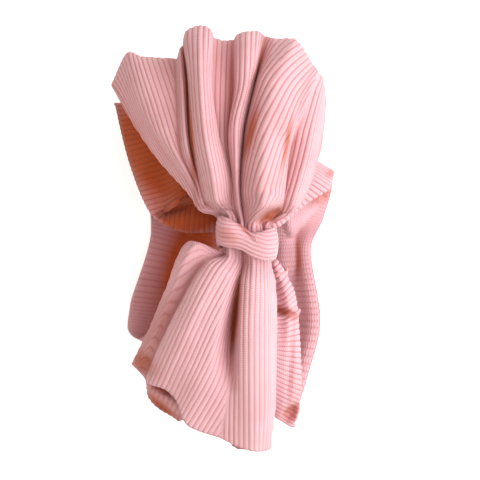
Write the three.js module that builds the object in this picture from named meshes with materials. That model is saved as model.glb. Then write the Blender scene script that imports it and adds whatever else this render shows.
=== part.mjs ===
// A baby's headband of soft ribbed knit with a large bow knotted on it, taken off and laid down on its back.
//
// Millimetres, +Z up. The origin is on the surface that it lies on, straight under the knot. The band is a
// ring that a head enters along X. Its ring has sunk to a flat oval, long in Y. The bow lies on top: its loop
// reaches out to +Y and its tail to -Y.

import * as THREE from 'three';

// Driving sizes
const CLOTH = 1.8; // thickness of the knit, ribs and all
const LEAST_WALL_SLOPE = 0.27; // the wall is measured square to the cloth up to this cosine of its slope
const WALL_SHARE = 0.42; // of the room between front and back that one wall may take
const STEEPEST = 3.4; // no fold falls faster than this, in mm down per mm across
const LEAST_ROOM = 5; // between the front of a bow half and its back
const BEYOND_FROM = 0.6; // share of a fold where its back starts to reach further than its front
const PINK = 0xdca49c;
const ROUGH = 0.92;

// Bow loop: a strip that runs from the knot to the tip, turns over and comes back underneath
const LOOP_ROOT_Y = 0.2;
const LOOP_STATIONS = [0.19, 0.28, 0.52, 0.77, 1]; // shares of a fold's length, from near the knot to its tip
const LOOP_TURN = 0.12; // share of the length that the turn takes
const LOOP_BACK = { z: [57, 57.5, 57.5, 57, 55, 51], frontMean: [63, 71, 77, 83, 82, 74], relief: 0.4 };
const LOOP_STEPS = { front: 10, turn: 6, back: 8 };
const STEP_GROWTH = 1.25; // steps are shorter near the knot, where the folds open quickly

// One row for each line along a fold, from the left edge to the right one. neckY is where it leaves the knot,
// tipY where its front ends, and beyond how much further its back reaches. x and z give its place at the neck
// and at each station.
const FOLD_COLUMNS = ['name', 'neckY', 'tipY', 'beyond', 'x', 'z'];
const LOOP_FOLDS = table(FOLD_COLUMNS, [
  ['left edge', 14, 88, 0, [-14.6, -21.5, -31.0, -48.5, -65.5, -76.0], [58, 59, 60, 60, 57, 53]],
  ['edge turn', 14, 103, 0, [-14.4, -26, -30.0, -49.5, -60.5, -65.5], [60, 64, 68, 80, 81, 71]],
  ['left panel', 14, 102, 0, [-14.2, -25.5, -28.8, -43.5, -50.0, -52.0], [60, 65, 70, 82, 82, 71]],
  ['left valley', 14, 102, 0, [-14.0, -25, -27.8, -37.5, -38.9, -40.0], [59, 63, 67, 76, 77, 69]],
  ['thin ridge', 14, 107, 0, [-13.8, -24.6, -27.2, -34.0, -35.8, -37.5], [60, 66, 71, 84, 84, 74]],
  ['red groove', 14, 110, 0, [-13.6, -24.3, -26.8, -32.0, -33.0, -36.2], [59, 64, 68, 76, 77, 68]],
  ['ridge one left', 14, 116, 0, [-13.2, -24.5, -26.0, -30.7, -31.2, -34.0], [64, 76, 84, 91, 91, 79]],
  ['ridge one top', 14, 119, 0, [-10.0, -17, -18.5, -23.4, -25.4, -26.0], [68, 82, 89, 95, 95, 82]],
  ['ridge one right', 13, 117, 0, [-6.6, -9.6, -10.2, -17.0, -20.8, -20.7], [66, 79, 86, 92, 92, 81]],
  ['ridge one foot', 12, 111, 5, [-6.0, -9.2, -9.7, -16.2, -19.6, -18.7], [61, 67, 73, 79, 81, 74]],
  ['middle panel', 11, 108, 7, [-5.4, -8.2, -8.9, -14.0, -13.4, -12.6], [62, 70, 77, 84, 85, 77]],
  ['middle groove', 10, 109, 7, [-4.9, -7.6, -8.3, -11.0, -8.0, -8.0], [61, 69, 76, 82, 83, 76]],
  ['ridge two left', 9, 113, 3, [-4.4, -7.0, -7.7, -9.4, -5.6, -5.6], [64, 74, 80, 86, 88, 79]],
  ['ridge two top', 9, 115, 2, [-3.4, -5.4, -6.2, -6.6, -1.0, -0.5], [66, 77, 83, 89, 90, 80.5]],
  ['ridge two right', 8, 114, 3, [-2.2, -4.2, -4.9, -3.9, 2.2, 5.0], [64, 74, 80, 86, 87, 78]],
  ['deep groove', 8, 110, 6, [-1.8, -3.6, -4.2, -2.4, 3.4, 9.5], [60, 65, 69, 74, 76, 70]],
  ['big fold left', 8, 108, 8, [-1.2, -2.4, -2.7, -0.4, 5.4, 16.5], [64, 80, 85, 90, 90, 79]],
  ['big fold top', 8, 110, 4, [3.2, 7.2, 7.4, 9.5, 14.5, 25.5], [68, 89, 92, 96, 94, 80]],
  ['big fold right', 8, 98, 0, [7.4, 17.8, 19.0, 21.6, 27.0, 36.0], [65, 84, 87, 89, 87, 76]],
  ['right valley', 9, 94, 0, [8.0, 18.6, 20.0, 22.8, 31.0, 39.5], [60, 67, 73, 77, 84, 74]],
  ['right lobe', 9, 90, 0, [10.2, 22.5, 25.5, 31.5, 36.5, 42.0], [62, 69, 76, 80, 81, 71]],
  ['right edge', 9, 80, 0, [11.8, 23, 30.0, 38.0, 42.0, 44.0], [58, 59, 60, 60, 58, 54]],
]);

// Bow tail: a flat tube, open at its cut end. lift raises a line near the knot, where the left roll bulges
const TAIL_ROOT_Y = -0.2;
const TAIL_STATIONS = [0.2, 0.45, 0.75, 1];
const TAIL_BACK = { z: [57, 56, 54, 50, 44], frontMean: [64, 74, 76, 70, 58], relief: 0.35 };
const TAIL_STEPS = 12;
const LIFT_SHARES = [0, 0, 1, 0.3, 0, 0]; // of a row's lift, at the root, the neck and the four stations
const TAIL_COLUMNS = ['name', 'neckY', 'tipY', 'beyond', 'lift', 'x', 'z', 'edge'];
const TAIL_FOLDS = table(TAIL_COLUMNS, [
  ['roll edge', -6, -70, 0, 14, [-13.6, -34, -46.5, -57.5, -66.5], [58, 54, 50, 43, 37], true],
  ['roll', -6, -73, 1, 13, [-13.0, -29, -42, -53, -62.0], [62, 67, 63, 54, 44], false],
  ['tuck', -6, -77, 2, 5, [-12.4, -23, -36, -48, -56.5], [60, 61, 57, 50, 43], false],
  ['rolled edge', -6, -77, 5, 3, [-12.0, -22, -35.5, -47.5, -56.0], [63, 73, 74, 68, 60], false],
  ['left crest', -7, -79, 12, 0, [-10.0, -16, -27, -38, -47.0], [69.0, 80, 81, 75, 65], false],
  ['left panel', -8, -93, 7, 0, [-6.0, -10, -17, -24, -34.0], [65, 78, 80, 74, 60], false],
  ['crease', -9, -107, 2, 0, [-2.5, -4.5, -7.8, -9.5, -15.0], [61, 68, 66, 67, 56], false],
  ['crease right', -10, -110, 2, 0, [-1.0, -2.5, -3.8, -4.8, -6.5], [64, 79, 82, 75, 58], false],
  ['right ridge', -10, -112, 2, 0, [3.0, 2.4, 1.6, 1.8, 2.0], [69.5, 82, 84, 77, 60], false],
  ['right panel', -10, -114, 2, 0, [8.0, 9.4, 10.2, 10.2, 9.0], [65, 77, 80, 73, 57], false],
  ['right edge', -10, -115, 0, 0, [12.4, 15.2, 15.8, 15.2, 12.5], [59, 62, 62, 56, 47], true],
]);

// Head band: one row for each line across its width, from the knot over the upper turn, back along the
// surface and up over the lower turn. left, middle and right are points on the cloth. pleat is the height of
// its gathers, fan how far the line swings round the knot, and dip how far its left half sags. droop is the
// share of an edge's height that the cloth just inside that edge follows: none where it lies on the surface.
const BAND_COLUMNS = ['name', 'left', 'middle', 'right', 'pleat', 'fan', 'dip', 'droop'];
const BAND_LINES = table(BAND_COLUMNS, [
  ['knot', [-9.5, 0, 47.8], [0, 0, 48], [9.5, 0, 47.8], 0.2, 1, 0, 0.15],
  ['throat up', [-11.5, 6.5, 45.5], [0, 9, 48], [10, 6, 47.6], 0.6, 1, 0, 0.15],
  ['neck up', [-31, 8, 41], [0, 21, 47.5], [15, 12, 46], 1.4, 1, 0, 0.15],
  ['flare up', [-53, 13, 35], [-1, 42, 47], [33, 26, 45], 2.6, 1, 3, 0.15],
  ['shoulder up', [-66, 42, 26], [-4, 62, 44], [48, 37, 41], 2.0, 0.5, 2, 0.15],
  ['upper turn', [-78, 82, 20], [-8, 76, 23], [51, 44, 25], 1.0, 0, 0, 0.15],
  ['under up', [-68, 58, 8], [-6, 60, 3], [50, 34, 8], 0, 0, 0, 0.15],
  ['far up', [-58, 32, 8], [-4, 32, 0.9], [47, 14, 7], 0, 0, 0, 0],
  ['far middle', [-54, 8, 12], [-4, -8, 0.9], [43, -6, 7], 0, 0, 0, 0],
  ['far down', [-68, -38, 16], [-6, -46, 0.9], [44, -46, 7], 0, 0, 0, 0],
  ['under down', [-70, -50, 17], [-8, -68, 3], [41, -80, 8], 0, 0, 0, 0.15],
  ['lower turn', [-63, -57, 19], [-10, -84, 21], [27, -103, 21], 1.0, 0, 0, 0.15],
  ['shoulder down', [-50, -46, 29], [-6, -62, 41], [32, -80, 36], 2.0, 0.5, 2, 0.15],
  ['flare down', [-36, -27, 38], [-2, -42, 46], [30, -40, 41], 2.6, 1, 2, 0.15],
  ['neck down', [-18.5, -10.5, 43.5], [0, -20, 47.5], [14.5, -15.5, 45.8], 1.4, 1, 0, 0.15],
]);
const BAND_PLEATS = 4.5; // half waves of the gathers over half the width
const PLEAT_START = 0.6; // where the middle of the width falls on that wave, in radians
const BAND_INNER = 0.66; // where the points between middle and edge sit
const BAND_STEPS = { round: 4, across: 18 };

// Knot wrap: one row for each place round it, seen along Y, with its lower and upper edge
const WRAP_COLUMNS = ['name', 'x', 'z', 'lowY', 'highY'];
const WRAP_LINES = table(WRAP_COLUMNS, [
  ['front left', -11.0, 71.6, -2.5, 13.0],
  ['front middle', -4.0, 73, -4.0, 9.0],
  ['front dip', 3.0, 73.5, -8.0, 4.6],
  ['front right', 9.0, 72.5, -9.8, 6.0],
  ['right top', 14.4, 69, -9.5, 7.7],
  ['right side', 15.8, 59, -8.0, 7.5],
  ['right under', 13.5, 45.0, -6.0, 6.0],
  ['under', 0.0, 42.8, -6.0, 6.0],
  ['left under', -15.0, 45.0, -3.5, 4.0],
  ['left side', -17.3, 57, -3.5, 9.0],
  ['left top', -16.4, 68, -1.5, 14.0],
]);
const WRAP_CENTRE_Z = 58;
const WRAP_BULGE = 2.6;
const WRAP_PADDING = 1.2; // how much thicker the wrap is along its middle
const WRAP_STEPS = { round: 3, across: 6 };

// Rows of values to objects that name their columns
function table(columns, rows) {
  return rows.map((row) => Object.fromEntries(columns.map((column, i) => [column, row[i]])));
}

// A smooth curve through values at stations that never swings past them
function smooth(stations, values) {
  const last = stations.length - 1;
  const slopes = [];
  for (let i = 0; i < last; i++) {
    slopes.push((values[i + 1] - values[i]) / (stations[i + 1] - stations[i]));
  }
  const tangents = values.map((_, i) => {
    if (i === 0) return slopes[0];
    if (i === last) return slopes[last - 1];
    const [before, after] = [slopes[i - 1], slopes[i]];
    return before * after > 0 ? (2 * before * after) / (before + after) : 0;
  });
  return (at) => {
    let i = 0;
    while (i < last - 1 && at > stations[i + 1]) i++;
    const span = stations[i + 1] - stations[i];
    const t = (at - stations[i]) / span;
    const rest = 1 - t;
    return (1 + 2 * t) * rest * rest * values[i] + t * rest * rest * span * tangents[i] +
      t * t * (3 - 2 * t) * values[i + 1] - t * t * rest * span * tangents[i + 1];
  };
}

// The same over a closed ring of values, one station each
function smoothRing(values) {
  const pad = 3;
  const count = values.length;
  const stations = [];
  const ring = [];
  for (let i = -pad; i <= count + pad; i++) {
    stations.push(i);
    ring.push(values[(i + count) % count]);
  }
  return smooth(stations, ring);
}

function range(count) {
  return Array.from({ length: count }, (_, i) => i);
}

// Shares from 0 to 1 in even steps
function shares(steps) {
  return range(steps + 1).map((i) => i / steps);
}

// Where every fold line of a bow half is at a share of its length: x, y, front z and back z
function foldPoints(folds, rootY, stations, back, share) {
  const points = folds.map((fold) => {
    const neck = (fold.neckY - rootY) / (fold.tipY - rootY);
    const at = [0, neck, ...stations];
    const pick = (values) => smooth(at, [values[0], ...values])(share);
    const front = pick(fold.z);
    const under = fold.edge
      ? front
      : Math.min(pick(back.z) + back.relief * (front - pick(back.frontMean)), front - LEAST_ROOM);
    const lift = fold.lift ? fold.lift * smooth(at, LIFT_SHARES)(share) : 0;
    const beyond = fold.beyond * Math.max((share - BEYOND_FROM) / (1 - BEYOND_FROM), 0);
    return { x: pick(fold.x), y: rootY + share * (fold.tipY - rootY) + lift, front, under, beyond };
  });
  // A narrow ridge beside a deep valley is only as high as the cloth can climb
  for (const key of ['front', 'under']) {
    const before = points.map((point) => point[key]);
    points.forEach((point) => {
      point[key] = Math.min(...before.map((z, j) => z + STEEPEST * Math.abs(point.x - points[j].x)));
    });
  }
  return points;
}

// Columns across a bow half, two to each fold line, with the wall that each needs in z
function foldColumns(folds, rootY, stations, back, share) {
  const points = foldPoints(folds, rootY, stations, back, share);
  const lines = range(points.length);
  const curve = (key) => smooth(lines, points.map((point) => point[key]));
  const keys = ['x', 'y', 'front', 'under', 'beyond'];
  const across = Object.fromEntries(keys.map((key) => [key, curve(key)]));
  const columns = range(2 * points.length - 1).map((i) => ({
    x: across.x(i / 2),
    y: across.y(i / 2),
    middle: (across.front(i / 2) + across.under(i / 2)) / 2,
    half: (across.front(i / 2) - across.under(i / 2)) / 2,
    front: across.front(i / 2),
    under: across.under(i / 2),
    beyond: across.beyond(i / 2),
  }));
  columns.forEach((column, i) => {
    const before = columns[Math.max(i - 1, 0)];
    const after = columns[Math.min(i + 1, columns.length - 1)];
    const steepness = (key) => Math.abs((after[key] - before[key]) / (after.x - before.x));
    const slope = Math.max(steepness('front'), steepness('under'));
    const cosine = Math.max(1 / Math.hypot(1, slope), LEAST_WALL_SLOPE);
    column.wall = Math.min(CLOTH / cosine, 2 * WALL_SHARE * column.half);
  });
  return columns;
}

// A closed body between two grids of points. Both run over i and j; with ring, i closes on itself.
function wallBetween(outer, inner, ring) {
  const lines = outer.length;
  const last = outer[0].length - 1;
  const positions = [outer, inner].flat(3);
  const at = (side, i, j) => side * lines * (last + 1) + (i % lines) * (last + 1) + j;
  const indices = [];
  const quad = (a, b, c, d) => indices.push(a, b, c, a, c, d);
  const spans = ring ? lines : lines - 1;
  for (let i = 0; i < spans; i++) {
    for (let j = 0; j < last; j++) {
      quad(at(0, i, j), at(0, i + 1, j), at(0, i + 1, j + 1), at(0, i, j + 1));
      quad(at(1, i, j), at(1, i, j + 1), at(1, i + 1, j + 1), at(1, i + 1, j));
    }
    quad(at(0, i + 1, 0), at(0, i, 0), at(1, i, 0), at(1, i + 1, 0));
    quad(at(0, i, last), at(0, i + 1, last), at(1, i + 1, last), at(1, i, last));
  }
  for (let j = 0; j < last && !ring; j++) {
    quad(at(0, 0, j), at(0, 0, j + 1), at(1, 0, j + 1), at(1, 0, j));
    quad(at(0, spans, j + 1), at(0, spans, j), at(1, spans, j), at(1, spans, j + 1));
  }
  const geometry = new THREE.BufferGeometry();
  geometry.setAttribute('position', new THREE.Float32BufferAttribute(positions, 3));
  geometry.setIndex(indices);
  geometry.computeVertexNormals();
  return geometry;
}

function bowLoop() {
  const { front, turn, back } = LOOP_STEPS;
  const straight = 1 - LOOP_TURN;
  const profile = [
    ...shares(front).map((t) => ({ share: straight * t ** STEP_GROWTH, side: 1 })),
    ...shares(turn).slice(1, -1).map((t) => ({ bend: Math.PI * t, side: Math.cos(Math.PI * t) })),
    ...shares(back).map((t) => ({ share: straight * (1 - t) ** STEP_GROWTH, side: -1 })),
  ];
  const place = (depth) => {
    const steps = profile.map(({ share, bend, side }) => {
      const reach = bend === undefined ? share : straight + LOOP_TURN * Math.sin(bend);
      const inset = bend === undefined ? 0 : depth * CLOTH * Math.sin(bend);
      const columns = foldColumns(LOOP_FOLDS, LOOP_ROOT_Y, LOOP_STATIONS, LOOP_BACK, reach);
      return columns.map((c) => [
        c.x,
        c.y + (c.beyond * (1 - side)) / 2 - inset,
        c.middle + (c.half - depth * c.wall) * side,
      ]);
    });
    return range(steps[0].length).map((i) => steps.map((step) => step[i]));
  };
  return wallBetween(place(0), place(1), false);
}

function bowTail() {
  const place = (depth) => {
    const steps = shares(TAIL_STEPS).map((t) => {
      const share = t ** STEP_GROWTH;
      const columns = foldColumns(TAIL_FOLDS, TAIL_ROOT_Y, TAIL_STATIONS, TAIL_BACK, share);
      const [left, right] = [columns[0].x, columns.at(-1).x];
      const centre = (left + right) / 2;
      const inset = 1 - (depth * CLOTH) / (right - centre);
      const point = (c, side) => [
        centre + (c.x - centre) * inset,
        c.y - (c.beyond * (1 - side)) / 2,
        c.middle + (c.half - depth * c.wall) * side,
      ];
      const under = columns.slice(1, -1).reverse();
      return [...columns.map((c) => point(c, 1)), ...under.map((c) => point(c, -1))];
    });
    return range(steps[0].length).map((i) => steps.map((step) => step[i]).reverse());
  };
  return wallBetween(place(0), place(1), true);
}

// The point between a band line's middle and its edge, on a straight line or swung round the knot
function betweenPoint(middle, edge, fan, lower) {
  const straight = middle.map((value, axis) => value + BAND_INNER * (edge[axis] - value));
  const z = middle[2] - lower;
  const [near, far] = [Math.hypot(middle[0], middle[1]), Math.hypot(edge[0], edge[1])];
  if (near === 0) return [straight[0], straight[1], z];
  const from = Math.atan2(middle[0], middle[1]);
  let turn = Math.atan2(edge[0], edge[1]) - from;
  if (Math.abs(turn) > Math.PI) turn -= 2 * Math.PI * Math.sign(turn);
  const angle = from + BAND_INNER * turn;
  const radius = near + BAND_INNER * (far - near);
  const swung = [radius * Math.sin(angle), radius * Math.cos(angle)];
  return [0, 1].map((axis) => straight[axis] + fan * (swung[axis] - straight[axis])).concat(z);
}

// The band's middle surface, at a place round it and a place across it from -1 to 1
function bandSurface() {
  const lines = BAND_LINES.map(({ left, middle, right, fan, dip, droop }) => [
    left,
    betweenPoint(middle, left, fan, dip + BAND_INNER * droop * (middle[2] - left[2])),
    middle,
    betweenPoint(middle, right, fan, BAND_INNER * droop * (middle[2] - right[2])),
    right,
  ]);
  const round = range(5).map((k) => range(3).map((axis) => smoothRing(lines.map((line) => line[k][axis]))));
  const pleat = smoothRing(BAND_LINES.map((line) => line.pleat));
  return (a, w) => {
    const across = [-1, -BAND_INNER, 0, BAND_INNER, 1];
    const [x, y, z] = range(3).map((axis) => smooth(across, round.map((point) => point[axis](a)))(w));
    return new THREE.Vector3(x, y, z + pleat(a) * Math.cos(Math.PI * BAND_PLEATS * w + PLEAT_START));
  };
}

function headBand() {
  const surface = bandSurface();
  const small = 0.01;
  const place = (offset) =>
    range(BAND_LINES.length * BAND_STEPS.round).map((i) =>
      shares(BAND_STEPS.across).map((share) => {
        const a = i / BAND_STEPS.round;
        const w = 2 * share - 1;
        const round = surface(a + small, w).sub(surface(a - small, w));
        const across = surface(a, Math.min(w + small, 1)).sub(surface(a, Math.max(w - small, -1)));
        const normal = across.cross(round).normalize();
        return surface(a, w).addScaledVector(normal, offset).toArray();
      }),
    );
  return wallBetween(place(-CLOTH / 2), place(CLOTH / 2), true);
}

function knotWrap() {
  const round = Object.fromEntries(
    ['x', 'z', 'lowY', 'highY'].map((key) => [key, smoothRing(WRAP_LINES.map((line) => line[key]))]),
  );
  const place = (depth) =>
    range(WRAP_LINES.length * WRAP_STEPS.round).map((i) =>
      shares(WRAP_STEPS.across).map((share) => {
        const a = i / WRAP_STEPS.round;
        const out = new THREE.Vector2(round.x(a), round.z(a) - WRAP_CENTRE_Z);
        const bulge = (WRAP_BULGE - depth * WRAP_PADDING) * Math.sqrt(1 - (2 * share - 1) ** 2);
        out.setLength(out.length() + bulge - depth * CLOTH);
        return [out.x, round.lowY(a) + share * (round.highY(a) - round.lowY(a)), out.y + WRAP_CENTRE_Z];
      }),
    );
  return wallBetween(place(0), place(1), true);
}

function piece(name, geometry) {
  const knit = new THREE.MeshStandardMaterial({ color: PINK, roughness: ROUGH, metalness: 0 });
  const mesh = new THREE.Mesh(geometry, knit);
  mesh.name = name;
  return mesh;
}

const headband = new THREE.Group();
headband.name = 'ribbed_headband';
headband.add(piece('head_band', headBand()));
headband.add(piece('bow_loop', bowLoop()));
headband.add(piece('bow_tail', bowTail()));
headband.add(piece('knot_wrap', knotWrap()));

export default headband;
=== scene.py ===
# %% [markdown]
# # A ribbed headband with a bow
# A baby's headband of soft ribbed knit lies on its back on a pale table, its big bow uppermost. It is four
# pieces of one cloth: the band that goes round the head, the bow's loop, the bow's tail, and the strip wound
# round them at the knot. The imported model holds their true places, and this file dresses each of them.

import bmesh
import bpy
import numpy as np
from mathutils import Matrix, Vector


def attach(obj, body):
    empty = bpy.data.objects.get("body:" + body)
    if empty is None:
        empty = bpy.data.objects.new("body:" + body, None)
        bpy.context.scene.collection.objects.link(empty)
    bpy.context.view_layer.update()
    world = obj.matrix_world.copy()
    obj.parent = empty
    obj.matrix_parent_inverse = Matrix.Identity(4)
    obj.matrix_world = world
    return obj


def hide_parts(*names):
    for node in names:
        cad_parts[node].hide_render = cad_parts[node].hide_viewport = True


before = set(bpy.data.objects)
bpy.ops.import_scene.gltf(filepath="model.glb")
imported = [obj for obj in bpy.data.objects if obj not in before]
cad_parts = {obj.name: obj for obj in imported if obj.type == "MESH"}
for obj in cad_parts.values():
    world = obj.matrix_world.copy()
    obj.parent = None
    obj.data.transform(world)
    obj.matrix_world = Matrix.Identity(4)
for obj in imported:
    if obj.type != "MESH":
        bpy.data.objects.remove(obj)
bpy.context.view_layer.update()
MM = 0.001
print("nodes", sorted(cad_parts))

# %% [markdown]
# ## The camera
# The photo was taken from straight above. A camera with no turn at all looks down -Z, so it only needs its
# place over the knot and the lens that makes 264 mm fill the picture at 750 mm away.

# %% Camera
CAMERA_PLACE = (-4.4 * MM, 1.1 * MM, 820 * MM)
SEEN_WIDTH = 264 * MM
SEEN_AT = 750 * MM
SENSOR = 36.0
NEAREST_SEEN = 10 * MM


def add_camera():
    lens = bpy.data.cameras.new("photo_camera")
    lens.sensor_width = SENSOR
    lens.lens = SENSOR * SEEN_AT / SEEN_WIDTH
    lens.clip_start = NEAREST_SEEN
    camera = bpy.data.objects.new("photo_camera", lens)
    camera.location = CAMERA_PLACE
    bpy.context.collection.objects.link(camera)
    bpy.context.scene.camera = camera
    return camera


print("lens", round(add_camera().data.lens, 1), "mm")

# %% [markdown]
# ## Light and table
# The photo's light is soft and comes from the right and a little from above it, so the folds shine on their
# right and the band at the left lies in the bow's shade. One large area lamp does that, and a weaker one
# overhead opens the shadows. The large lamp is a little blue and the sky round it is warm, so the shaded
# cloth turns brown. The table is a plain pale sheet far wider than the picture. It is burnt out to white in
# the photo, so it glows a little by itself.

# %% Light and table
LAMP = {"place": (0.86, 0.14, 0.80), "size": 0.9, "watts": 13.5, "tint": (0.90, 0.95, 1.0)}
FILL = {"place": (0.20, -0.30, 1.00), "size": 1.0, "watts": 4.0, "tint": (1.0, 0.94, 0.90)}
LAMP_AIM = (0, 0, 50 * MM)
SKY = {"strength": 0.5, "tint": (1.0, 0.84, 0.74, 1)}
TABLE_HALF = 1.5
TABLE_FINISH = {
    "Base Color": (0.93, 0.93, 0.93, 1),
    "Roughness": 0.9,
    "Emission Color": (1, 1, 1, 1),
    "Emission Strength": 0.55,
}


def set_inputs(shader, values):
    for name, value in values.items():
        shader.inputs[name].default_value = value


def add_lamp(name, place, size, watts, tint):
    light = bpy.data.lights.new(name, "AREA")
    light.size = size
    light.energy = watts
    light.color = tint
    lamp = bpy.data.objects.new(name, light)
    lamp.location = place
    aim = Vector(LAMP_AIM) - Vector(place)
    lamp.rotation_euler = aim.to_track_quat("-Z", "Y").to_euler()
    bpy.context.collection.objects.link(lamp)


def add_sky(strength, tint):
    world = bpy.data.worlds.new("studio")
    world.use_nodes = True
    set_inputs(world.node_tree.nodes["Background"], {"Color": tint, "Strength": strength})
    bpy.context.scene.world = world


def add_table():
    shape = bmesh.new()
    bmesh.ops.create_grid(shape, x_segments=1, y_segments=1, size=TABLE_HALF)
    mesh = bpy.data.meshes.new("table")
    shape.to_mesh(mesh)
    shape.free()
    table = bpy.data.objects.new("table", mesh)
    bpy.context.collection.objects.link(table)
    finish = bpy.data.materials.new("table_white")
    finish.use_nodes = True
    set_inputs(finish.node_tree.nodes["Principled BSDF"], TABLE_FINISH)
    mesh.materials.append(finish)


add_lamp("window", **LAMP)
add_lamp("ceiling", **FILL)
add_sky(**SKY)
add_table()
bpy.context.scene.view_settings.view_transform = "Standard"
print("two lamps and the table in place")

# %% [markdown]
# ## Shader sums
# The knit's finish is worked out from a few numbers on each point. Written as nodes, that is hard to read, so
# a small class lets a shader socket be added, subtracted and multiplied like any number in Python.

# %% A socket that sums work on


class Wire:
    def __init__(self, tree, socket):
        self.tree = tree
        self.socket = socket

    def node(self, kind, settings, values, output=0):
        made = self.tree.nodes.new(kind)
        for name, value in settings.items():
            setattr(made, name, value)
        for name, value in values.items():
            if isinstance(value, Wire):
                self.tree.links.new(value.socket, made.inputs[name])
            else:
                made.inputs[name].default_value = value
        return Wire(self.tree, made.outputs[output])

    def sum(self, operation, *values):
        return self.node("ShaderNodeMath", {"operation": operation}, dict(enumerate(values)))

    def __add__(self, other):
        return self.sum("ADD", self, other)

    def __radd__(self, other):
        return self.sum("ADD", other, self)

    def __sub__(self, other):
        return self.sum("SUBTRACT", self, other)

    def __rsub__(self, other):
        return self.sum("SUBTRACT", other, self)

    def __mul__(self, other):
        return self.sum("MULTIPLY", self, other)

    def __rmul__(self, other):
        return self.sum("MULTIPLY", other, self)

    def __abs__(self):
        return self.sum("ABSOLUTE", self)


MIX_SOCKETS = {"share": 0, "first colour": 6, "second colour": 7}
MIXED_COLOUR = 2


def mix(share, first, second):
    colours = dict(zip(MIX_SOCKETS.values(), (share, first, second)))
    return share.node("ShaderNodeMix", {"data_type": "RGBA"}, colours, MIXED_COLOUR)


# %% [markdown]
# ## The knit
# Rib knit is made of columns of small V stitches. The column tops catch the light and look dusty pink, and
# the shade in the hollows between them and between the stitches is painted as a deeper rose. Where no light
# reaches, light that has bounced from pink wall to pink wall turns a warm brown, which is painted shade too.
# The ribs themselves are real relief in the mesh. The stitches are finer than its faces, so they are a bump,
# drawn on the map that counts ribs one way and rib widths the other. Two numbers on each point steer the
# colour: "rib" says how strongly it is ribbed there, and "shelter" how far it lies out of the light.

# %% The knit's material
RIB = 3.0  # mm from one rib to the next
STITCHES = 2.4  # along a rib, for each rib width
STITCH_SLANT = 1.1  # stitches that a row lags for each rib width from a rib's middle
GROOVE_FROM = 0.28  # of a rib's width from its middle
GROOVE_SHARPNESS = 5.0
# CREST is the lit rib top. HOLLOW is painted shade for the rib grooves and the gaps between stitches, and
# also the deeper tone of the random patches. SHELTERED and SHELTERED_HOLLOW are painted brown shade where
# little light reaches.
CREST = (0.86, 0.53, 0.58, 1)
HOLLOW = (0.62, 0.26, 0.27, 1)
SHELTERED = (0.50, 0.09, 0.018, 1)
SHELTERED_HOLLOW = (0.22, 0.03, 0.008, 1)
GROOVE_SHADE = 0.9
BETWEEN_STITCHES_SHADE = 0.28
SHELTERED_GROOVE_SHADE = 0.35
PATCH_SHADE = 0.7
PATCH_FROM = 0.42
PATCHES = {"Scale": 55.0, "Detail": 3.0}
FUZZ = {"Scale": 1600.0, "Detail": 2.0}
RELIEF = {"stitch": 1.5, "fuzz": 1.1, "groove": 1.2, "flat in groove": 0.7}
BUMP = {"Strength": 0.5, "Distance": 0.35 * MM}
CLOTH_FINISH = {
    "Roughness": 0.92,
    "Sheen Weight": 0.25,
    "Sheen Roughness": 0.6,
    "Sheen Tint": (1.0, 0.86, 0.84, 1),
    "Specular IOR Level": 0.15,
}
TAU = 2 * np.pi


def knit_material(name, crest, hollow, sheltered, sheltered_hollow):
    material = bpy.data.materials.new(name)
    material.use_nodes = True
    tree = material.node_tree
    shader = tree.nodes["Principled BSDF"]
    start = Wire(tree, None)
    places = start.node("ShaderNodeUVMap", {"uv_map": "knit"}, {})
    ribs = start.node("ShaderNodeSeparateXYZ", {}, {0: places})
    along = Wire(tree, ribs.socket.node.outputs[1])
    strength = start.node("ShaderNodeAttribute", {"attribute_name": "rib"}, {}, output=2)
    shelter = start.node("ShaderNodeAttribute", {"attribute_name": "shelter"}, {}, output=2)
    bend = abs(ribs.sum("FRACT", ribs) - 0.5)
    line = {0: bend, 1: GROOVE_SHARPNESS, 2: -GROOVE_SHARPNESS * GROOVE_FROM}
    groove = strength * start.node("ShaderNodeMath", {"operation": "MULTIPLY_ADD", "use_clamp": True}, line)
    stitch = 0.5 + 0.5 * ribs.sum("SINE", (along * STITCHES + bend * STITCH_SLANT) * TAU)
    solid = start.node("ShaderNodeTexCoord", {}, {}, output=3)
    patch = start.node("ShaderNodeTexNoise", {}, {"Vector": solid, **PATCHES})
    fuzz = start.node("ShaderNodeTexNoise", {}, {"Vector": solid, **FUZZ})
    # Painted shade: grooves and gaps between stitches darken towards the hollow colour, and sheltered places
    # turn towards the painted brown shade.
    depth = groove * GROOVE_SHADE + (1 - stitch) * strength * BETWEEN_STITCHES_SHADE
    colour = mix(depth.sum("MINIMUM", depth, 1.0), crest, hollow)
    colour = mix((patch - PATCH_FROM) * PATCH_SHADE, colour, hollow)
    shade = mix(groove * SHELTERED_GROOVE_SHADE, sheltered, sheltered_hollow)
    colour = mix(shelter, colour, shade)
    tree.links.new(colour.socket, shader.inputs["Base Color"])
    relief = stitch * (1 - groove * RELIEF["flat in groove"]) * RELIEF["stitch"]
    relief = relief + fuzz * RELIEF["fuzz"] - groove * RELIEF["groove"]
    bump = start.node("ShaderNodeBump", {}, {"Height": relief, **BUMP})
    tree.links.new(bump.socket, shader.inputs["Normal"])
    set_inputs(shader, CLOTH_FINISH)
    return material


KNIT = knit_material("dusty_pink_rib_knit", CREST, HOLLOW, SHELTERED, SHELTERED_HOLLOW)
print("knit material with", len(KNIT.node_tree.nodes), "nodes")

# %% [markdown]
# ## Curves through a few heights
# Each fold is described by a handful of places along it. A smooth curve has to pass through them without
# swinging past a crest or a valley, which an ordinary spline would do, so this one flattens out there. The
# places are written as tables with named columns, which `table` turns into one list for each column.

# %% Smooth curves
RING_OVERLAP = 3


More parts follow.
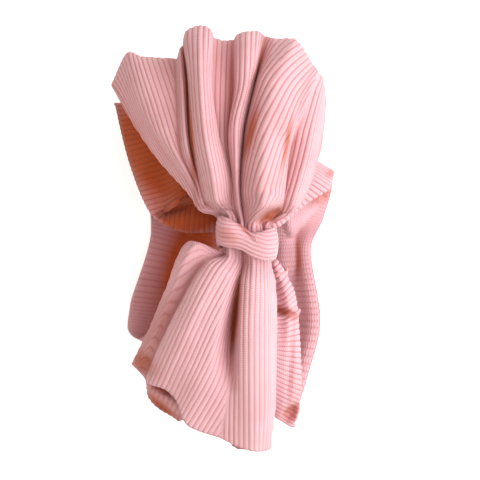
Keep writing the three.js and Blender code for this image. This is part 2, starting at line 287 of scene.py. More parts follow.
def smooth(stations, values, at):
    stations = np.asarray(stations, float)
    values = np.asarray(values, float)
    spans = np.diff(stations).reshape((-1,) + (1,) * (values.ndim - 1))
    slopes = np.diff(values, axis=0) / spans
    before, after = slopes[:-1], slopes[1:]
    together = before * after > 0
    total = np.where(together, before + after, 1.0)
    tangents = np.concatenate([slopes[:1], np.where(together, 2 * before * after / total, 0), slopes[-1:]])
    at = np.asarray(at, float)
    i = np.clip(np.searchsorted(stations, at, side="right") - 1, 0, len(stations) - 2)
    span = spans[i]
    t = (at - stations[i]).reshape(span.shape) / span
    rest = 1 - t
    return (
        (1 + 2 * t) * rest**2 * values[i]
        + t * rest**2 * span * tangents[i]
        + t**2 * (3 - 2 * t) * values[i + 1]
        - t**2 * rest * span * tangents[i + 1]
    )


def smooth_ring(values, at):
    values = np.asarray(values, float)
    ring = np.concatenate([values[-RING_OVERLAP:], values, values[: RING_OVERLAP + 1]])
    return smooth(np.arange(-RING_OVERLAP, len(values) + RING_OVERLAP + 1), ring, at)


def table(columns, rows):
    return {name: [row[i] for row in rows] for i, name in enumerate(columns)}


# %% [markdown]
# ## Ribs that keep their width
# Cloth that is gathered doesn't shrink its ribs: they stay 3 mm apart, and the spare ones slip out of sight
# into the valleys. So ribs are counted outwards from the crest of each fold and fade at the next valley. On
# some folds they also lean, from a little way up the fold. A valley gets less light than the cloth round it,
# so `cavity` measures how far a point lies below the average height of its neighbours.

# %% Ribs
PER_RIB = 5  # grid steps
RIB_HEIGHT = 0.65
ROUNDNESS = 0.65  # 1 is a plain sine, and less is a fuller rib
LEAN_FROM = 12.0  # mm along the fold
VALLEY_FADE = 1.6
SAMPLES = 1500
TINY = 1e-9


def lengths(points):
    steps = np.linalg.norm(np.diff(points, axis=0), axis=-1)
    return np.concatenate([np.zeros((1,) + steps.shape[1:]), np.cumsum(steps, axis=0)])


def lengths_along(points):
    return lengths(points.transpose(1, 0, 2)).T


def even_places(lines_at, span, per_rib):
    fine = np.linspace(0, span, SAMPLES)
    steps = np.linalg.norm(np.diff(lines_at(fine), axis=0), axis=-1).max(axis=1)
    run = np.concatenate([[0], np.cumsum(steps)])
    ribs = round(run[-1] / RIB)
    return np.interp(np.linspace(0, run[-1], ribs * per_rib + 1), run, fine)


def normals(points):
    sides = np.cross(np.gradient(points, axis=0), np.gradient(points, axis=1))
    return sides / np.maximum(np.linalg.norm(sides, axis=2, keepdims=True), TINY)


def ring_normals(points):
    sides = normals(points)
    sides[0] = sides[-1] = (sides[0] + sides[-1]) / 2
    return sides


def cavity(points, reach):
    span = round(reach / RIB * PER_RIB)
    height = np.pad(points[..., 2], ((span, span), (0, 0)), mode="edge")
    total = np.cumsum(height, axis=0)
    average = (total[2 * span:] - total[:-2 * span]) / (2 * span)
    return np.clip(average - points[..., 2], 0, None)


def rib_profile(count):
    return np.abs(np.sin(np.pi * count)) ** ROUNDNESS


def count_from_crests(points, places, crests, valleys, leans):
    run = lengths(points)
    up = lengths_along(points)
    columns = [int(np.argmin(abs(places - crest))) for crest in crests]
    ends = [0] + [int(np.argmin(abs(places - valley))) for valley in valleys] + [len(places) - 1]
    count = np.zeros(run.shape)
    fade = np.ones(run.shape)
    for k, crest in enumerate(columns):
        part = slice(ends[k], ends[k + 1] + 1)
        lean = leans[k] * np.maximum(up[part] - LEAN_FROM, 0)
        count[part] = (run[part] - run[crest] + lean) / RIB + 0.5
        if k > 0:
            fade[part] = np.minimum(fade[part], (run[part] - run[ends[k]]) / VALLEY_FADE)
        if k < len(columns) - 1:
            fade[part] = np.minimum(fade[part], (run[ends[k + 1]] - run[part]) / VALLEY_FADE)
    return count, np.clip(fade, 0, 1)


# %% [markdown]
# ## From a grid of places to a sheet of cloth
# Every piece starts as Blender's own grid. Its points are carried to their places, a seam that closes a ring
# is merged, and a Solidify modifier gives the sheet its thickness.

# %% Sheets of cloth
GRID_HALF = 0.5
SEAM = 0.001 * MM


def cloth_piece(name, node, points, count, along, thickness, marks, ring=False):
    rows, columns = points.shape[:2]
    shape = bmesh.new()
    bmesh.ops.create_grid(shape, x_segments=rows - 1, y_segments=columns - 1, size=GRID_HALF)
    knit_map = shape.loops.layers.uv.new("knit")
    layers = {mark: shape.verts.layers.float.new(mark) for mark in marks}
    place = {}
    for vert in shape.verts:
        i = round((vert.co.x / GRID_HALF + 1) / 2 * (rows - 1))
        j = round((vert.co.y / GRID_HALF + 1) / 2 * (columns - 1))
        place[vert.index] = (i, j)
        vert.co = points[i, j] * MM
        for mark, layer in layers.items():
            vert[layer] = marks[mark][i, j]
    for face in shape.faces:
        face.smooth = True
        for loop in face.loops:
            i, j = place[loop.vert.index]
            loop[knit_map].uv = (count[i, j], along[i, j])
    if ring:
        bmesh.ops.remove_doubles(shape, verts=shape.verts, dist=SEAM)
    mesh = bpy.data.meshes.new(name)
    shape.to_mesh(mesh)
    shape.free()
    mesh.materials.append(KNIT)
    piece = bpy.data.objects.new(name, mesh)
    bpy.context.collection.objects.link(piece)
    wall = piece.modifiers.new("cloth", "SOLIDIFY")
    wall.thickness = thickness * MM
    wall.offset = -1
    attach(piece, "root")
    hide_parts(node)
    print(name, len(mesh.polygons), "faces before its wall")
    return piece


# %% [markdown]
# ## Small bumps and shades
# Knit has soft dents, swells and darker hollows that no fold line goes through. Each is one soft-edged oval
# in a table: its middle, its half length and half width, how far it is turned, and an amount. For a bump the
# amount is its height in mm, and for a shade it is how far out of the light the place lies, from 0 to 1.

# %% Spots
SPOT_NUMBERS = ["x", "y", "long", "wide", "turn", "amount"]
SPOT_COLUMNS = ["name", "layer", *SPOT_NUMBERS]
SPOT_EDGE = 1.5  # 1 is a soft bell, and more gives it a steeper edge


def chosen(rows, layer):
    keep = [k for k, name in enumerate(rows["layer"]) if name == layer]
    return {key: [values[k] for k in keep] for key, values in rows.items()}


def spots(points, rows):
    total = np.zeros(points.shape[:2])
    for x, y, long, wide, turn, amount in zip(*(rows[key] for key in SPOT_NUMBERS)):
        heading = np.radians(turn)
        out = points[..., 0] - x + 1j * (points[..., 1] - y)
        out *= np.exp(-1j * heading)
        total += amount * np.exp(-(((out.real / long) ** 2 + (out.imag / wide) ** 2) ** SPOT_EDGE))
    return total


print("spots have", SPOT_COLUMNS)


# %% [markdown]
# ## The bow's two halves
# The loop and the tail both spread from the knot in long folds. One table row is one line along a fold, from
# the left edge to the right one: where its neck and its tip are, and how far to the side and how high it is
# at the neck and at each station. Between the lines the cloth is smooth. A narrow ridge beside a deep valley
# is kept as high as cloth can climb. The layer underneath follows the front one a little. It may reach beyond
# the front's tip, which `beyond` gives in mm. A line with `edge` is where the two layers meet, and `lift`
# draws the middle of a line towards the knot.

# %% Folds
STEEPEST = 6.0
LEAST_ROOM = 5.0
BEYOND_FROM = 0.6
LIFT_SHARES = [0, 0, 1, 0.3, 0, 0]
STEP_GROWTH = 1.2  # more than 1 puts the steps closer near the knot


def fold_lines(folds, root_y, stations, back, shares):
    lines = {key: [] for key in ("x", "y", "front", "under", "beyond")}
    near_tip = np.clip((shares - BEYOND_FROM) / (1 - BEYOND_FROM), 0, 1)
    for k in range(len(folds["name"])):
        reach = folds["tipY"][k] - root_y
        at = [0, (folds["neckY"][k] - root_y) / reach, *stations]
        columns = (folds["x"][k], folds["z"][k], back["z"], back["mean"])
        x, front, usual, mean = (smooth(at, [values[0], *values], shares) for values in columns)
        under = np.minimum(usual + back["relief"] * (front - mean), front - LEAST_ROOM)
        if "edge" in folds and folds["edge"][k]:
            under = front
        lift = 0
        if "lift" in folds:
            lift = folds["lift"][k] * smooth(at, LIFT_SHARES, shares)
        lines["x"].append(x)
        lines["y"].append(root_y + shares * reach + lift)
        lines["front"].append(front)
        lines["under"].append(under)
        lines["beyond"].append(folds["beyond"][k] * near_tip)
    lines = {key: np.array(rows) for key, rows in lines.items()}
    apart = np.abs(lines["x"][:, None] - lines["x"][None])
    for key in ("front", "under"):
        lines[key] = np.min(lines[key][None] + STEEPEST * apart, axis=1)
    return lines


def across(lines, key, places):
    return smooth(np.arange(len(lines[key])), lines[key], places)


# %% [markdown]
# ### The loop
# The loop runs up from the knot, turns over at its tip and comes back underneath, so its profile is a front
# run, half a turn, and a back run. Ribs run along it. The big fold at the right swells over the knot and
# leaves a small pocket under its lip, with painted shade in it. Crests and valleys are numbers of rows in
# the table, from 0.

# %% Loop sizes
LOOP_ROOT_Y = 0.2
LOOP_STATIONS = [0.19, 0.28, 0.52, 0.77, 1]  # shares of the way from the knot to a line's tip
LOOP_TURN = 0.12  # the share of that way which the half turn takes
LOOP_BACK = {"z": [57, 57.5, 57.5, 57, 55, 51], "mean": [63, 71, 77, 83, 82, 74], "relief": 0.4}
LOOP_STEPS = {"front": 56, "turn": 12, "back": 26}
LOOP_MEASURED_AT = 0.75
FOLD_COLUMNS = ["name", "neckY", "tipY", "beyond", "x", "z"]
LOOP_FOLDS = table(FOLD_COLUMNS, [
    ["left edge", 14, 89, 0, [-14.6, -26.4, -31.6, -50.2, -65.5, -77.0], [58, 59, 60, 60, 57, 53]],
    ["edge turn", 14, 106, 0, [-14.4, -25.9, -30.2, -48.2, -60.5, -66.5], [60, 62, 65, 74, 75, 66]],
    ["left panel", 14, 103, 0, [-14.2, -25.5, -28.9, -41.8, -50.3, -58.5], [60, 64, 69, 79, 79, 70]],
    ["left valley", 14, 102, 0, [-14.0, -25, -27.8, -37.5, -38.9, -40.0], [59, 63, 67, 77.5, 79, 70]],
    ["thin ridge", 14, 107, 0, [-13.8, -24.6, -27.2, -34.0, -35.8, -37.5], [60, 66, 71, 84, 84, 74]],
    ["red groove", 14, 110, 0, [-13.6, -24.3, -26.8, -32.0, -33.0, -36.2], [59, 64, 68, 76, 77, 68]],
    ["ridge one left", 14, 116, 0, [-13.2, -24.5, -26.0, -30.7, -31.2, -34.0], [66, 79, 87, 93.5, 93.5, 81]],
    ["ridge one top", 14, 119, 0, [-10.0, -17, -18.5, -23.4, -25.4, -26.0], [68, 82, 89, 95, 95, 82]],
    ["ridge one right", 13, 117, 0, [-6.6, -9.6, -10.2, -17.0, -20.8, -20.7], [66, 79, 86, 92, 92, 81]],
    ["ridge one foot", 12, 111, 5, [-6.0, -9.2, -9.7, -16.2, -19.6, -18.7], [61, 67, 73, 79, 81, 74]],
    ["middle panel", 11, 108, 7, [-5.4, -8.2, -8.9, -14.0, -13.4, -12.6], [62, 68, 73, 79, 80, 74]],
    ["middle groove", 10, 109, 7, [-4.9, -7.6, -8.3, -11.0, -8.0, -8.0], [61, 67, 72, 77, 78, 73]],
    ["ridge two left", 9, 113, 3, [-4.4, -7.0, -7.7, -9.4, -5.6, -5.6], [64, 74, 80, 86, 88, 79]],
    ["ridge two top", 9, 115, 2, [-3.4, -5.4, -6.2, -6.6, -1.0, -0.5], [66, 77, 83, 89, 90, 80.5]],
    ["ridge two right", 8, 114, 5, [-2.2, -4.2, -4.9, -3.9, 2.2, 5.0], [64, 74, 80, 86, 87, 78]],
    ["deep groove", 8, 110, 9, [-1.8, -3.6, -4.2, -2.4, 3.4, 9.5], [60, 65, 69, 74, 76, 70]],
    ["big fold left", 8, 108, 8, [-1.2, -2.4, -2.7, -0.4, 5.4, 16.5], [64, 80, 85, 90, 90, 79]],
    ["big fold top", 8, 110, 4, [3.2, 7.2, 7.4, 9.5, 14.5, 25.5], [68, 89, 92, 96, 94, 80]],
    ["big fold right", 8, 98, 0, [7.4, 17.8, 19.0, 21.6, 27.0, 36.0], [65, 84, 87, 89, 87, 76]],
    ["right valley", 9, 94, 0, [8.0, 18.6, 20.0, 22.8, 31.0, 39.5], [60, 67, 73, 77, 84, 74]],
    ["right lobe", 9, 90, 0, [10.2, 22.5, 25.5, 31.5, 36.5, 42.0], [62, 69, 76, 80, 81, 71]],
    ["right edge", 9, 80, 0, [11.8, 23, 30.0, 38.0, 42.0, 44.0], [58, 59, 60, 60, 58, 54]],
])
LOOP_CRESTS = [2, 4, 7, 10, 13, 17, 20]
LOOP_VALLEYS = [3, 5, 9, 11, 15, 19]
LOOP_LEANS = [0, 0, 0, 0, 0, -0.25, 0]
# Painted shade in the pocket, the recess by the big fold, the right valley and the groove right of the thin
# ridge. Besides these, each valley gets painted shade by its depth, LOOP_SHADE for each mm.
LOOP_SHADES = table(SPOT_COLUMNS, [
    ["pocket", "front", 12.0, 14.8, 7.5, 3.4, 25, 1.0],
    ["recess by the big fold", "front", 1.6, 59.0, 15.0, 2.4, 76, 0.9],
    ["right valley", "front", 20.4, 53.0, 14.0, 1.4, 79, 0.75],
    ["red groove", "front", -31.5, 62.0, 36.0, 2.0, 95, 1.0],
])
LOOP_SHADE_REACH = 9.0
LOOP_SHADE = 0.16  # for each mm that a valley is deep
LOOP_BULGES = table(SPOT_COLUMNS, [
    ["pouch lip", "front", 12.0, 22.0, 8.0, 4.5, 25, 4.0],
    ["pocket", "front", 12.0, 14.8, 8.0, 3.0, 25, -12.0],
])
CLOTH = 1.2

# %% Loop


def loop_points():
    straight = 1 - LOOP_TURN
    turn = np.pi * np.arange(1, LOOP_STEPS["turn"]) / LOOP_STEPS["turn"]
    front = straight * np.linspace(0, 1, LOOP_STEPS["front"] + 1) ** STEP_GROWTH
    back = straight * np.linspace(1, 0, LOOP_STEPS["back"] + 1)
    shares = np.concatenate([front, straight + LOOP_TURN * np.sin(turn), back])
    side = np.concatenate([np.ones(len(front)), np.cos(turn), -np.ones(len(back))])
    lines = fold_lines(LOOP_FOLDS, LOOP_ROOT_Y, LOOP_STATIONS, LOOP_BACK, shares)

    def points(places):
        grid = {key: across(lines, key, places) for key in lines}
        middle = (grid["front"] + grid["under"]) / 2
        half = (grid["front"] - grid["under"]) / 2
        y = grid["y"] + grid["beyond"] * (1 - side) / 2
        result = np.stack([grid["x"], y, middle + half * side], axis=2)
        result[..., 2] += spots(result, LOOP_BULGES) * np.clip(side, 0, 1)
        return result

    return points, len(front)


def make_loop():
    points, front = loop_points()
    middle = int(front * LOOP_MEASURED_AT)
    places = even_places(lambda at: points(at)[:, [middle]], len(LOOP_FOLDS["name"]) - 1, PER_RIB)
    flat = points(places)
    count, fade = count_from_crests(flat, places, LOOP_CRESTS, LOOP_VALLEYS, LOOP_LEANS)
    relief = rib_profile(count) * fade
    ribbed = flat + normals(flat) * (RIB_HEIGHT * relief)[..., None]
    along = lengths_along(flat) / RIB
    shelter = cavity(flat, LOOP_SHADE_REACH) * LOOP_SHADE + spots(flat, LOOP_SHADES)
    marks = {"rib": fade, "shelter": np.clip(shelter, 0, 1)}
    piece = cloth_piece("loop_knit", "bow_loop", ribbed, count, along, CLOTH, marks)
    print("loop is", round(lengths(flat[:, middle])[-1]), "mm wide")
    return piece


bow_loop = make_loop()

# %% [markdown]
# ### The tail
# The tail is a flat tube. A row's points go across its front and back underneath, so the grid is a ring. Its
# left side is rolled, and at the cut end the front layer stops short of the one behind it, which opens a
# small mouth at the left. Behind the mouth the other layer shows a pale lip, with painted shade inside the
# mouth and on a low step beyond the lip.

# %% Tail sizes
TAIL_ROOT_Y = -0.2
TAIL_STATIONS = [0.2, 0.45, 0.75, 1]
TAIL_BACK = {"z": [57, 56, 54, 50, 44], "mean": [64, 74, 76, 70, 58], "relief": 0.35}
TAIL_STEPS = 90
TAIL_MEASURED_AT = 0.6
TAIL_COLUMNS = ["name", "neckY", "tipY", "beyond", "lift", "x", "z", "edge"]
TAIL_FOLDS = table(TAIL_COLUMNS, [
    ["roll edge", -6, -70, 0, 14, [-13.6, -34, -46.5, -57.5, -66.5], [58, 54, 50, 43, 37], True],
    ["roll", -6, -73, 1, 13, [-13.0, -29, -42, -53, -62.0], [62, 67, 63, 54, 44], False],
    ["tuck", -6, -77, 3, 5, [-12.4, -24, -37.6, -49.6, -57.8], [60, 64, 61, 55, 47], False],
    ["rolled edge", -6, -79, 10, 3, [-12.0, -22, -35.5, -47.5, -56.0], [65, 76, 77, 72, 63], False],
    ["left crest", -7, -81, 16, 0, [-10.0, -16, -27, -38, -47.0], [69.0, 80, 81, 75, 65], False],
    ["mouth corner", -8, -87, 14, 0, [-8.0, -13, -22.5, -31.5, -40.0], [67, 79, 80, 75.5, 66], False],
    ["left panel", -8, -101, 1, 0, [-6.0, -10, -17, -24, -34.0], [65, 78, 80, 75, 65], False],
    ["crease", -9, -109, 0, 0, [-2.5, -4.5, -7.8, -10.5, -15.0], [61, 68, 61, 72.5, 63], False],
    ["crease right", -10, -113, 4, 0, [-1.0, -2.5, -3.8, -5.2, -6.5], [64, 79, 82, 75, 63], False],
    ["right ridge", -10, -116, 1.5, 0, [3.0, 2.4, 1.6, 1.8, 2.0], [69.5, 82, 84, 77, 63], False],
    ["right panel", -10, -117, 1, 0, [8.0, 9.4, 10.2, 10.2, 9.0], [65, 77, 80, 73, 57], False],
    ["right edge", -10, -117.5, 0, 0, [12.4, 15.2, 15.8, 15.2, 12.5], [59, 62, 62, 56, 47], True],
])
TAIL_CRESTS = [1, 4, 9]
TAIL_VALLEYS = [2, 7]
TAIL_LEANS = [0.4, 0, 0]
# Painted shade in the crease, on the roll and its cut end, inside the mouth, and on the strips of the layer
# behind that show past the front's cut end, behind the mouth and at the right.
TAIL_SHADES = table(SPOT_COLUMNS, [
    ["crease", "front", -7.2, -40.0, 19.0, 2.6, 84, 1.1],
    ["roll", "front", -53.0, -52.0, 30.0, 5.0, 65, 0.4],
    ["roll's cut end", "front", -58.0, -69.0, 9.0, 6.0, -25, 0.5],
    ["inside the mouth", "under", -47.0, -83.5, 11.0, 2.6, -29, 1.0],
    ["seam behind the mouth", "under", -48.0, -93.5, 13.0, 3.6, -42, 0.9],
    ["seam at the right", "under", -1.0, -118.0, 14.0, 2.5, -10, 0.7],
])
TAIL_BUMPS = table(SPOT_COLUMNS, [
    ["pale lip", "under", -46.0, -88.0, 12.0, 3.0, -38, 2.5],
    ["inside the mouth", "under", -47.0, -82.5, 11.0, 2.2, -29, -4.0],
    ["seam behind the mouth", "under", -49.0, -95.0, 13.0, 3.6, -42, -3.0],
])
TAIL_RIBS = 0.65
TAIL_SHADE_REACH = 7.0
TAIL_SHADE = 0.09

# %% Tail


def tail_points():
    shares = np.linspace(0, 1, TAIL_STEPS + 1) ** STEP_GROWTH
    lines = fold_lines(TAIL_FOLDS, TAIL_ROOT_Y, TAIL_STATIONS, TAIL_BACK, shares)

    def points(places):
        grid = {key: across(lines, key, places) for key in lines}
        front = np.stack([grid["x"], grid["y"], grid["front"]], axis=2)
        under = np.stack([grid["x"], grid["y"] - grid["beyond"], grid["under"]], axis=2)
        under[..., 2] += spots(under, TAIL_BUMPS)
        return front, under

    return points


def make_tail():
    points = tail_points()
    middle = int(TAIL_STEPS * TAIL_MEASURED_AT)
    last = len(TAIL_FOLDS["name"]) - 1
    places = even_places(lambda at: points(at)[0][:, [middle]], last, PER_RIB)
    front, under = points(places)
    count, fade = count_from_crests(front, places, TAIL_CRESTS, TAIL_VALLEYS, TAIL_LEANS)
    back_run = lengths(under[::-1])
    back_count = count[-1:] + back_run / RIB
    flat = np.concatenate([front, under[-2::-1]])[::-1]
    counts = np.concatenate([count, back_count[1:]])[::-1]
    fades = np.concatenate([fade, np.ones(back_count[1:].shape)])[::-1]
    relief = rib_profile(counts) * fades
    relief[0] = relief[-1]
    ribbed = flat + ring_normals(flat) * (RIB_HEIGHT * relief)[..., None]
    along = lengths_along(flat) / RIB
    front_shade = cavity(front, TAIL_SHADE_REACH) * TAIL_SHADE + spots(front, chosen(TAIL_SHADES, "front"))
    under_shade = spots(under, chosen(TAIL_SHADES, "under"))
    shelter = np.concatenate([front_shade, under_shade[-2::-1]])[::-1]
    marks = {"rib": TAIL_RIBS * fades, "shelter": np.clip(shelter, 0, 1)}
    piece = cloth_piece("tail_knit", "bow_tail", ribbed, counts, along, CLOTH, marks, ring=True)
    print("tail is", round(lengths(flat[:, middle])[-1]), "mm round")
    return piece


bow_tail = make_tail()

# %% [markdown]
# ## The head band
# The band is one wide ring of knit with its ribs across it. Each table row is a line across its width, from
# the knot over the upper turn, back along the table and up over the lower turn. It goes through a left, a
# middle and a right place. Near the knot `fan` swings the line round it, because the gathered cloth does, and
# `bend` gives the place two thirds of the way to the left where the swing alone would miss it. Between its
# places a line sags by `droop`, a share of its fall, and at the left by `dip` more, and it waves up and down
# by `pleat`. `rim` raises the cloth beside the right edge, and `hem` is the radius of that edge's curl. Where
# the band lies doubled, the spots choose between its near layer and its far one.

# %% Band sizes
BAND_COLUMNS = ["name", "left", "middle", "right", "pleat", "fan", "dip", "droop", "rim", "hem", "bend"]
BAND_LINES = table(BAND_COLUMNS, [
    ["knot", [-9.5, 0, 47.8], [0, 0, 48], [9.5, 0, 47.8], 0.2, 1, 0, 0.15, 0, 0.6, None],
    ["throat up", [-12, 6, 45], [0, 9, 48], [10.2, 6.4, 47.5], 0.6, 1, 0, 0.15, 0, 2.0, [-10, 12, 46]],
    ["neck up", [-33, 5, 39], [0, 21, 47.5], [17, 9, 46], 1.4, 1, 0, 0.15, 0, 3.4, [-31, 22, 42]],
    ["flare up", [-53, 13, 35], [-1, 42, 47], [33, 22.5, 45], 2.6, 0.5, 3, 0.15, 0, 4.0, [-48, 17.5, 37]],
    ["shoulder up", [-69, 46, 26], [-4, 62, 44], [46, 32, 41], 2.0, 0, 2, 0.15, 0, 3.4, None],
    ["upper turn", [-78, 82, 20], [-8, 76, 23], [50, 42, 25], 1.0, 0, 0, 0.15, 0, 1.2, None],
    ["under up", [-68, 58, 8], [-6, 60, 3], [50, 34, 8], 0, 0, 0, 0.15, 3, 0.6, None],
    ["far up", [-60, 32, 8], [-4, 32, 0.9], [45, 14, 8], 0, 0, 0, 0, 2, 0.6, None],
    ["far middle", [-57.5, 6, 12], [-4, -8, 0.9], [37.5, -6, 9], 0, 0, 0, 0, 3, 0.6, None],
    ["far down", [-69.5, -37, 16], [-6, -46, 0.9], [43, -46, 9], 0, 0, 0, 0, 4, 0.6, None],
    ["under down", [-71, -50, 17], [-8, -68, 3], [36, -78, 9], 0, 0, 0, 0.15, 3, 0.6, None],
    ["lower turn", [-65, -57, 19], [-10, -86, 21], [25.5, -109, 21], 1.0, 0, 0, 0.15, 0, 1.0, None],
    ["shoulder down", [-50, -46, 29], [-6, -62, 41], [31, -82, 35], 2.0, 0.5, 2, 0.15, 0, 1.2, None],
    ["flare down", [-36, -27, 38], [-2, -42, 46], [27.5, -32, 42], 2.6, 1, 2, 0.15, 0, 2.6, None],
    ["neck down", [-18.5, -10.5, 43.5], [0, -20, 47.5], [19.0, -14.0, 46], 1.4, 1, 0, 0.15, 0, 2.4, None],
])
BAND_BUMPS = table(SPOT_COLUMNS, [
    ["crease over the strip", "near", -41, 19.5, 13, 2.0, 19, -3.5],
    ["strip", "near", -37, 12.5, 15, 4.5, 8, 2.0],
    ["lobe by the knot", "near", 19, -15, 6, 5, -35, 5.0],
    ["crease under the lobe", "near", 22, -20, 6, 1.5, -20, -2.5],
    ["second roll", "near", 22, -30, 9, 7, 90, 4.5],
    ["crease under the roll", "near", 20, -40, 8, 2.4, -20, -8.0],
    ["long groove", "near", 24.3, -68, 26, 1.8, 87, -3.0],
    ["bottom opening", "near", 25, -99, 6, 3.4, 55, -8.0],
    ["flap", "far", 27, 17, 18, 9, 48, 10.0],
    ["patch", "far", 24, -8, 12, 6, 85, 5.0],
    ["slanted ribs", "near", 15, -72, 26, 5, 88, 2.5],
])
# Painted shade where the band lies out of the light: the upper left wing and the strip by the knot, the floor
# at the left, the crescent wall at the right, under the hem and the second roll, the corner and the bottom
# opening.
BAND_SHADES = table(SPOT_COLUMNS, [
    ["upper left wing", "near", -52, 50, 50, 26, -50, 1.15],
    ["strip by the knot", "near", -34, 12, 22, 9, 8, 0.75],
    ["floor at the left", "far", -36, -16, 46, 18, 76, 1.3],
    ["red crescent", "far", 31.0, -9, 13, 2.0, 92, 0.9],
    ["under the hem", "far", 43, 27, 9, 4, 30, 0.6],
    ["corner", "near", 48, 40, 4, 2.5, 40, 0.5],
    ["under the second roll", "near", 20, -39.5, 8, 2.8, -20, 0.8],
    ["bottom shade", "near", 25, -99, 6, 4, 55, 0.8],
])
FLAP = {"corners": [(25.5, 3.4), (44.6, 25.8), (36, 31), (22, 14)], "height": 3.5, "edge": 1.2}
FLAP_RIBS = 0.2
BAND_PLEATS = 4.5
PLEAT_START = 0.6
BAND_INNER = 0.66
RIM_AT = 0.9
RIM_WIDE = 0.09
BAND_PER_RIB = 4
BAND_ACROSS = 62
BAND_MIDDLE_Z = 21
LAYER_BLEND = 4.0
COUNT_BLEND = 12.0
MIDDLE_FADE = 0.1
RIB_LINES = np.array([0.85, 0, -0.85])
FAR_RIBS = 0.6
HEM_TURN = np.radians(200)
HEM_STEPS = 8

# %% [markdown]
# The lines are joined round the ring, and each point is moved by the bumps of its own layer. A loose flap on
# the far layer has straight edges, so it is given by its corners. Ribs are counted for the left and the right
# half apart where the cloth fans out on top, and once for both where it lies on the table.

# %% Band


def between_point(middle, edge, fan, lower):
    middle = np.array(middle, float)
    edge = np.array(edge, float)
    straight = middle + BAND_INNER * (edge - middle)
    straight[2] = middle[2] - lower
    near, far = np.hypot(*middle[:2]), np.hypot(*edge[:2])
    if near == 0:
        return straight
    start = np.arctan2(middle[0], middle[1])
    turn = (np.arctan2(edge[0], edge[1]) - start + np.pi) % TAU - np.pi
    angle = start + BAND_INNER * turn
    radius = near + BAND_INNER * (far - near)
    swung = radius * np.array([np.sin(angle), np.cos(angle)])
    straight[:2] += fan * (swung - straight[:2])
    return straight


def by_layer(points, rows):
    near = np.clip((points[..., 2] - BAND_MIDDLE_Z) / LAYER_BLEND + 0.5, 0, 1)
    total = np.zeros(points.shape[:2])
    for layer, share in (("near", near), ("far", 1 - near)):
        total += share * spots(points, chosen(rows, layer))
    return total


def inside(points, corners, edge):
    share = np.ones(points.shape[:2])
    for (x0, y0), (x1, y1) in zip(corners, corners[1:] + corners[:1]):
        across_edge = (x1 - x0) * (points[..., 1] - y0) - (y1 - y0) * (points[..., 0] - x0)
        share *= np.clip(across_edge / np.hypot(x1 - x0, y1 - y0) / edge + 0.5, 0, 1)
    return share


def band_surface():
    five = []
    for k in range(len(BAND_LINES["name"])):
        left, middle, right, bend = (BAND_LINES[key][k] for key in ("left", "middle", "right", "bend"))
        fan, dip, droop = (BAND_LINES[key][k] for key in ("fan", "dip", "droop"))
        lower_left = dip + BAND_INNER * droop * (middle[2] - left[2])
        lower_right = BAND_INNER * droop * (middle[2] - right[2])
        inner_left = bend or between_point(middle, left, fan, lower_left)
        inner_right = between_point(middle, right, fan, lower_right)
        five.append([left, inner_left, middle, inner_right, right])
    five = np.array(five, float)
    stations = [-1, -BAND_INNER, 0, BAND_INNER, 1]

    def surface(a, w):
        lines = smooth_ring(five, a)
        points = smooth(stations, lines.transpose(1, 0, 2), w).transpose(1, 0, 2)
        pleat = smooth_ring(BAND_LINES["pleat"], a)
        points[..., 2] += pleat[:, None] * np.cos(np.pi * BAND_PLEATS * w + PLEAT_START)
        rim = smooth_ring(BAND_LINES["rim"], a)
        points[..., 2] += rim[:, None] * np.exp(-(((w - RIM_AT) / RIM_WIDE) ** 2))
        return points

    return surface


def band_ribs(surface, a, w):
    right, middle, left = surface(a, RIB_LINES).transpose(1, 0, 2)
    near = np.clip((middle[:, 2] - BAND_MIDDLE_Z) / COUNT_BLEND + 0.5, 0, 1)
    start = int(np.argmin(abs(a - BAND_LINES["name"].index("far middle"))))
    sides = []
    for line in (right, left):
        steps = near[1:] * np.diff(lengths(line)) + (1 - near[1:]) * np.diff(lengths(middle))
        run = np.concatenate([[0], np.cumsum(steps)])
        sides.append((run - run[start]) / RIB)
    count = np.where(w > 0, sides[0][:, None], sides[1][:, None])
    fade = 1 - near[:, None] * (1 - np.clip(abs(w) / MIDDLE_FADE, 0, 1))
    return count, fade


def with_hem(points, radius):
    out = points[:, :1] - points[:, 1:2]
    out /= np.linalg.norm(out, axis=2, keepdims=True)
    outward = ring_normals(points)[:, :1]
    angle = np.linspace(HEM_TURN, 0, HEM_STEPS, endpoint=False)[None, :, None]
    radius = radius[:, None, None]
    curl = points[:, :1] + radius * (np.sin(angle) * out - (1 - np.cos(angle)) * outward)
    return np.concatenate([curl, points], axis=1)


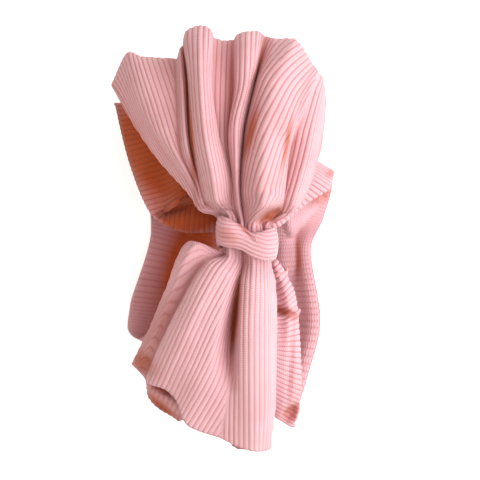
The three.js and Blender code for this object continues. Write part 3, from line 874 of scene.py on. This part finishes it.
def make_band():
    surface = band_surface()
    rows = len(BAND_LINES["name"])
    a = even_places(lambda at: surface(at, RIB_LINES), rows, BAND_PER_RIB)
    w = np.linspace(1, -1, BAND_ACROSS + 1)
    flat = surface(a, w)
    flap = inside(flat, FLAP["corners"], FLAP["edge"]) * (flat[..., 2] < BAND_MIDDLE_Z)
    flat[..., 2] += by_layer(flat, BAND_BUMPS) + FLAP["height"] * flap
    count, fade = band_ribs(surface, a, w)
    flat = with_hem(flat, smooth_ring(BAND_LINES["hem"], a))
    count = np.pad(count, ((0, 0), (HEM_STEPS, 0)), mode="edge")
    fade = np.pad(fade * (1 - (1 - FLAP_RIBS) * flap), ((0, 0), (HEM_STEPS, 0)), mode="edge")
    pitch = np.linalg.norm(np.gradient(flat, axis=0), axis=2) / np.gradient(count, axis=0)
    room = np.clip(pitch / RIB, 0, 1)
    strength = fade * room * np.where(flat[..., 2] < BAND_MIDDLE_Z, FAR_RIBS, 1)
    height = RIB_HEIGHT * rib_profile(count) * strength
    ribbed = flat + ring_normals(flat) * (height - 0.5 * CLOTH)[..., None]
    along = lengths_along(flat) / RIB
    marks = {"rib": strength, "shelter": np.clip(by_layer(flat, BAND_SHADES), 0, 1)}
    piece = cloth_piece("band_knit", "head_band", ribbed, count, along, CLOTH, marks, ring=True)
    print("band is", round(lengths(surface(a, np.array([0.0]))[:, 0])[-1]), "mm round")
    return piece


head_band = make_band()

# %% [markdown]
# ## The knot's wrap
# A short strip of the knit is wound round the gathered middle and hides where band, loop and tail meet. Its
# ribs run round it, so they sag across the front from the upper left.

# %% Wrap sizes
WRAP_COLUMNS = ["name", "x", "z", "lowY", "highY", "swell"]
WRAP_LINES = table(WRAP_COLUMNS, [
    ["front left", -11.0, 71.6, -2.5, 13.0, 4.6],
    ["front middle", -4.0, 73, -4.0, 9.0, 3.4],
    ["front dip", 3.0, 73.5, -8.0, 4.6, 3.0],
    ["front right", 9.0, 72.5, -9.8, 6.0, 3.4],
    ["right top", 13.6, 69, -9.5, 7.7, 2.6],
    ["right side", 14.8, 59, -8.0, 7.5, 1.6],
    ["right under", 13.0, 45.0, -6.0, 6.0, 1.2],
    ["under", 0.0, 42.8, -6.0, 6.0, 1.2],
    ["left under", -14.4, 45.0, -3.5, 4.0, 1.2],
    ["left side", -16.0, 57, -3.5, 9.0, 1.2],
    ["left top", -15.2, 68, -1.5, 14.0, 2.4],
])
WRAP_BUMPS = table(SPOT_COLUMNS, [
    ["crossing", "front", -3.8, 8.0, 9.0, 1.5, -46, -3.2],
    ["left lobe", "front", -11.0, 7.0, 6.0, 4.0, -60, 1.0],
])
WRAP_SHADES = table(SPOT_COLUMNS, [
    ["crossing", "front", -3.8, 8.5, 9.0, 1.2, -49, 0.7],
    ["under the lobe", "front", -11.0, 3.5, 6.0, 4.0, -40, 0.45],
])
WRAP_RIBS = 0.7
WRAP_RIB = 0.8 * RIB
WRAP_CENTRE_Z = 58
WRAP_STEPS = {"round": 220, "across": 48}
WRAP_THICKNESS = 1.5

# %% Wrap


def make_wrap():
    rows = len(WRAP_LINES["name"])
    a = np.linspace(0, rows, WRAP_STEPS["round"] + 1)
    share = np.linspace(0, 1, WRAP_STEPS["across"] + 1)
    line = {key: smooth_ring(WRAP_LINES[key], a) for key in WRAP_COLUMNS[1:]}
    out = np.stack([line["x"], line["z"] - WRAP_CENTRE_Z], axis=1)
    out /= np.linalg.norm(out, axis=1, keepdims=True)
    swell = line["swell"][:, None] * np.sqrt(np.clip(1 - (2 * share - 1) ** 2, 0, 1))
    x = line["x"][:, None] + out[:, :1] * swell
    z = line["z"][:, None] + out[:, 1:] * swell
    y = line["lowY"][:, None] + share * (line["highY"] - line["lowY"])[:, None]
    flat = np.stack([x, y, z], axis=2)
    along = np.repeat((lengths(flat[:, len(share) // 2]) / RIB)[:, None], len(share), axis=1)
    count = lengths_along(flat) / WRAP_RIB
    front = flat[..., 2] > WRAP_CENTRE_Z
    flat[..., 2] += spots(flat, WRAP_BUMPS) * front
    ribbed = flat + ring_normals(flat) * (RIB_HEIGHT * rib_profile(count))[..., None]
    shelter = np.clip(spots(flat, WRAP_SHADES) * front, 0, 1)
    marks = {"rib": np.full(count.shape, WRAP_RIBS), "shelter": shelter}
    return cloth_piece("wrap_knit", "knot_wrap", ribbed, count, along, WRAP_THICKNESS, marks, ring=True)


knot_wrap = make_wrap()

# %% [markdown]
# ## The four pieces
# Cloth hardly stretches, so each piece keeps the flat size that it was cut to: its width across the folds or
# round the tube, and its length along the way it runs.

# %% Sheets
print("four cloth pieces made")

# %% The end
print("the end")
